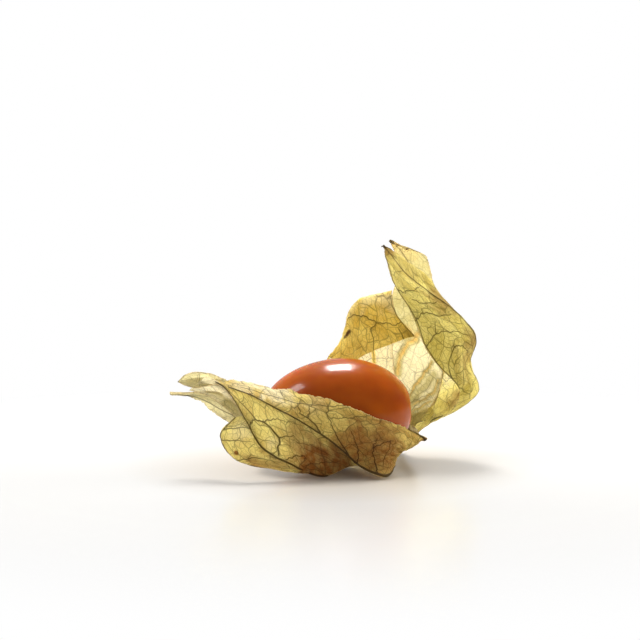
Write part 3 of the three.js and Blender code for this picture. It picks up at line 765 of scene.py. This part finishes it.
back_left = paper_piece("back_left_husk", [sepal_sheet(
    BACK_LEFT_RAILS, 400, 110, 120, BACK_LEFT_VEINS,
    folds=[([(0.46, 0.82), (0.36, 0.79), (0.30, 0.77)], 0.22, -0.12, 0.6)],
    stains_and_shade=[(0.742, 0.415, 0.36, 1.0), (0.727, 0.375, 0.40, 1.0), (0.705, 0.335, 0.36, 1.0),
            (0.82, 0.40, 1.4, 0.2), (0.97, 0.96, 1.3, 0.4), (0.68, 0.60, 1.6, -0.35), (0.68, 0.85, 2.2, -0.5),
            (0.78, 1.0, 1.8, -0.5)],
    bleach=(0.8, 0.66), high=[(0, 1.0), (2 / 7, 0.8), (3 / 7, 0.8), (4 / 7, 0.6), (5 / 7, 0)],
    torn=(0.1, 0.05),
)], back_left_paper)
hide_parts("back_left_sepal")


# ---------------------------------------------------------------- back middle sepal
# The far wall of the open shell, seen from the inside with the light coming through it, and its tip.

BACK_MIDDLE_RAILS = [
    [[9.5, 6.0, -3.4], [9.0, 11.1, 0.5], [8.2, 13.1, 6.4], [7.8, 12.2, 12.9], [8.6, 8.6, 18.4],
     [7.1, 6.2, 22.35]],
    [[9.9, 6.0, -2.9], [10.4, 11.3, 1.2], [10.2, 13.4, 7.5], [10.2, 12.2, 14.0], [9.7, 8.2, 19.4],
     [7.14, 6.18, 22.33]],
    [[10.4, 5.8, -2.5], [12.0, 11.1, 1.5], [12.8, 13.0, 8.0], [12.6, 11.4, 14.6], [10.9, 7.8, 20.0],
     [7.18, 6.17, 22.3]],
    [[10.9, 5.5, -2.1], [13.6, 10.7, 1.4], [14.6, 12.4, 8.0], [13.5, 10.7, 14.0], [12.3, 7.2, 19.6],
     [7.22, 6.16, 22.27]],
]
BACK_MIDDLE_VEINS = [
    ([(0.74, 0.45), (0.80, 0.33), (0.87, 0.30), (0.93, 0.40), (1.0, 0.5)], 0.10, 0.22),
    ([(0.15, 0.30), (0.17, 0.65), (0.17, 0.98)], 0.10, 0.06),
    ([(0.10, 0.35), (0.14, 0.65), (0.16, 0.95)], 0.10, 0.06),
    ([(0.55, 0.985), (0.75, 0.985), (1.0, 0.98)], 0.09, 0.09),
]
back_middle_paper = husk_material("back_middle_paper", (0.56, 0.50, 0.24), (0.45, 0.38, 0.14),
                                  (0.72, 0.47, 0.12), 0.72, 0.62)
back_middle = paper_piece("back_middle_husk", [sepal_sheet(
    BACK_MIDDLE_RAILS, 360, 100, 140, BACK_MIDDLE_VEINS,
    folds=[([(0.44, 0.48), (0.42, 0.42), (0.40, 0.22), (0.36, 0.06), (0.31, 0.0)], 0.45, -0.25, 0.8),
           ([(0.27, 0.86), (0.225, 0.70), (0.17, 0.45), (0.12, 0.25)], 0.6, 0.05, 0.10),
           ([(0.32, 0.78), (0.297, 0.72), (0.256, 0.57), (0.2, 0.33), (0.15, 0.15)], 0.25, -0.22, 0.85),
           ([(0.25, 1.0), (0.195, 0.98), (0.15, 0.77), (0.13, 0.4)], 0.28, -0.15, 0.65),
           ([(0.14, 0.98), (0.10, 0.7), (0.09, 0.4)], 0.25, -0.12, 0.6)],
    stains_and_shade=[(0.46, 0.28, 1.0, 0.6), (0.03, 0.5, 2.0, 0.12), (0.90, 0.6, 3.4, 0.35), (1.0, 0.5, 1.3, 0.8)],
    bleach=(0.65, 0.50), low=[(0.6, 0.5), (0.8, 0.2), (1, 0)],
    high=[(0, 1.0), (0.2, 0.6), (0.35, 0.9), (0.45, 0.9), (0.55, 0.7), (0.6, 0.4), (0.65, 0), (0.7, -0.3),
          (0.75, -0.3), (0.8, 0), (0.85, 0.5), (0.9, -1.0), (0.95, -0.3), (1, 0)], torn=(0.08, 0.15),
)], back_middle_paper)
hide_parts("back_middle_sepal")


# ---------------------------------------------------------------- back right sepal
# The tallest sepal: it rises at the right, and is folded along its midrib, so that one half joins the far
# wall and the other comes forward over the opening with a free, torn edge.

BACK_RIGHT_RAILS = [
    [[11.6, 5.0, -1.8], [14.2, 10.1, 0.9], [15.2, 11.8, 5.0], [15.2, 11.9, 9.0], [14.6, 10.7, 12.4],
     [13.4, 8.9, 15.0], [11.9, 6.6, 17.4], [9.2, 5.0, 19.7], [6.1, 2.8, 21.8]],
    [[11.8, 4.3, -1.8], [15.4, 7.6, -0.2], [17.8, 8.0, 3.4], [17.6, 7.6, 7.2], [17.4, 7.2, 10.8],
     [14.8, 6.2, 13.9], [12.3, 5.2, 17.3], [9.2, 3.9, 19.5], [6.08, 2.75, 21.78]],
    [[11.9, 3.6, -2.0], [15.8, 5.5, -0.5], [19.0, 5.0, 2.3], [17.8, 4.5, 6.0], [18.4, 4.0, 9.5],
     [15.7, 3.8, 12.9], [12.2, 3.4, 15.5], [9.0, 2.9, 18.2], [6.05, 2.7, 21.75]],
    [[11.7, 3.1, -2.2], [15.6, 4.9, -0.4], [17.8, 3.2, 2.8], [16.5, 2.4, 6.0], [16.0, 1.9, 9.2],
     [13.7, 1.9, 12.4], [10.6, 2.1, 15.6], [8.2, 2.2, 18.6], [6.02, 2.65, 21.72]],
    [[11.4, 2.7, -2.4], [15.5, 4.5, -0.3], [16.2, 2.9, 2.8], [13.6, 1.8, 5.7], [11.4, 1.5, 8.8],
     [9.9, 1.5, 12.8], [7.6, 1.6, 16.5], [6.7, 1.9, 19.2], [6.0, 2.6, 21.7]],
]
BASE_RAILS = [
    [[8.9, 5.4, -4.6], [9.5, 7.0, -3.9], [9.6, 9.2, -2.2]],
    [[9.7, 5.2, -4.1], [10.8, 6.8, -2.9], [11.4, 9.0, -1.0]],
    [[10.2, 4.6, -3.7], [11.6, 5.8, -2.4], [12.9, 7.8, -0.4]],
    [[10.4, 3.6, -3.5], [11.6, 3.6, -2.5], [13.2, 5.4, -0.9]],
]
BACK_RIGHT_VEINS = [
    ([(0.02, 0.5), (0.3, 0.5), (0.6, 0.5), (0.8, 0.5), (0.93, 0.5)], 0.33, 0.16),
    ([(0.93, 0.5), (1.0, 0.5)], 0.16, 0.36),
    ([(0.49, 0.98), (0.52, 0.93), (0.545, 0.885), (0.555, 0.80), (0.545, 0.70), (0.52, 0.60)], 0.12, 0.07),
    ([(0.60, 0.99), (0.615, 0.95), (0.64, 0.90), (0.64, 0.83), (0.625, 0.60)], 0.10, 0.09),
    ([(0.545, 0.885), (0.58, 0.86), (0.60, 0.84)], 0.09, 0.06),
    ([(0.73, 0.99), (0.73, 0.93), (0.75, 0.85), (0.79, 0.58)], 0.10, 0.09),
    ([(0.70, 0.90), (0.69, 0.83), (0.70, 0.60)], 0.07, 0.09),
    ([(0.475, 0.80), (0.44, 0.83), (0.35, 0.93), (0.31, 0.98)], 0.10, 0.11),
    ([(0.475, 0.80), (0.48, 0.76), (0.46, 0.68), (0.43, 0.62)], 0.10, 0.06),
    ([(0.40, 0.70), (0.35, 0.76), (0.27, 0.88)], 0.10, 0.06),
    ([(0.25, 0.985), (0.45, 0.985), (0.7, 0.985), (0.95, 0.98)], 0.10, 0.07),
    ([(0.60, 0.5), (0.66, 0.3), (0.72, 0.02)], 0.10, 0.06),
    ([(0.35, 0.5), (0.42, 0.3), (0.50, 0.02)], 0.11, 0.07),
    ([(0.66, 0.02), (0.76, 0.03), (0.86, 0.06), (0.95, 0.06), (1.0, 0.2)], 0.12, 0.16),
]
back_right_paper = husk_material("back_right_paper", (0.95, 0.85, 0.30), (0.72, 0.61, 0.15),
                                 (0.36, 0.22, 0.05), 0.9, 0.6)
back_right = paper_piece("back_right_husk", [sepal_sheet(
    BACK_RIGHT_RAILS, 360, 120, 160, BACK_RIGHT_VEINS,
    folds=[([(0.475, 0.80), (0.42, 0.78), (0.34, 0.82), (0.28, 0.9)], 0.45, 0.25, 0.3),
           ([(0.42, 0.62), (0.36, 0.70), (0.28, 0.76)], 0.45, -0.2, 0.5),
           ([(0.35, 0.2), (0.2, 0.24), (0.1, 0.3), (0.03, 0.4)], 0.45, -0.2, 0.5)],
    stains_and_shade=[(0.40, 0.64, 1.2, 0.6), (0.33, 0.78, 1.4, 0.3), (0.22, 0.06, 2.2, -0.6), (0.88, 0.4, 3.6, 0.42),
            (0.69, 0.46, 3.0, 0.7), (0.48, 0.52, 2.6, 0.7), (0.16, 0.25, 2.0, 0.7), (1.0, 0.5, 1.5, 1.4)],
    low=[(0.6, 0.7), (0.8, 0.3), (1, 0)], torn=(0.0, 0.12),
), sepal_sheet(BASE_RAILS, 44, 70, 180, bulge=0.1, crumple=0.08)], back_right_paper)
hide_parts("back_right_sepal")


# ---------------------------------------------------------------- stalk
# The short dry stalk the fruit was picked by. It swells into the ring that the berry and the sepals grow
# from, and it ends in a rough cut.

STALK_POINTS = [[8.6, 2.7, -3.1], [9.7, 3.4, -3.4], [10.2, 4.5, -4.2], [9.7, 7.6, -5.3], [8.6, 11.6, -6.2]]
STALK_RADII = [0.7, 1.25, 0.8, 0.8, 0.9]


def stalk_surface(rows=120, columns=40):
    """A rod carried along a curve: circles square to the curve, whose radius changes smoothly, with shallow
    grooves along it."""
    t = np.linspace(0, len(STALK_POINTS) - 1, rows)
    line = through_points(np.array(STALK_POINTS), t)
    ahead = np.gradient(line, axis=0)
    ahead /= np.linalg.norm(ahead, axis=1, keepdims=True)
    side = np.cross([0, 0, 1.0], ahead)
    side /= np.linalg.norm(side, axis=1, keepdims=True)
    up = np.cross(ahead, side)
    radius = np.interp(t, range(len(STALK_RADII)), STALK_RADII)
    turn = np.linspace(0, 2 * np.pi, columns, endpoint=False)
    uneven = lattice_noise(t[:, None] * 6, turn[None, :] * 3, 3)
    grooves = 1 + 0.05 * np.cos(5 * turn)[None, :] + 0.03 * uneven
    reach = (radius[:, None] * grooves)[..., None]
    ring = np.cos(turn)[None, :, None] * side[:, None] + np.sin(turn)[None, :, None] * up[:, None]
    return (line[:, None] + reach * ring) * MM + BERRY_CENTRE


stalk_points = stalk_surface()
ends = [np.repeat(ring.mean(axis=1, keepdims=True), ring.shape[1], axis=1)
        for ring in (stalk_points[:1], stalk_points[-1:])]
stalk_mesh = surface_mesh("stalk_mesh", np.concatenate([ends[0], stalk_points, ends[1]]), closed_around=True)
stalk = new_object("cut_stalk", stalk_mesh)
wood, wood_tree, wood_shader = new_material("stalk_wood")
stalk_mesh.materials.append(wood)
wood_place = add_node(wood_tree, "TexCoord").outputs["Object"]
stretched = add_node(wood_tree, "Mapping", {"Vector": wood_place, "Scale": (1.0, 0.15, 0.6)})
grain = noise_at(wood_tree, stretched.outputs["Vector"], 2200, 5, 0.65)
grain_fleck = map_range(wood_tree, grain, 0.35, 0.68, 0, 1)
grain_colour = mix_colour(wood_tree, grain_fleck, (0.16, 0.10, 0.035), (0.42, 0.34, 0.14))
grain_bump = add_node(wood_tree, "Bump", {"Height": grain, "Strength": 0.6, "Distance": 0.12 * MM})
set_inputs(wood_shader, {"Base Color": grain_colour, "Normal": grain_bump.outputs["Normal"],
                         "Roughness": 0.7})
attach(stalk, "root")
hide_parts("stalk")
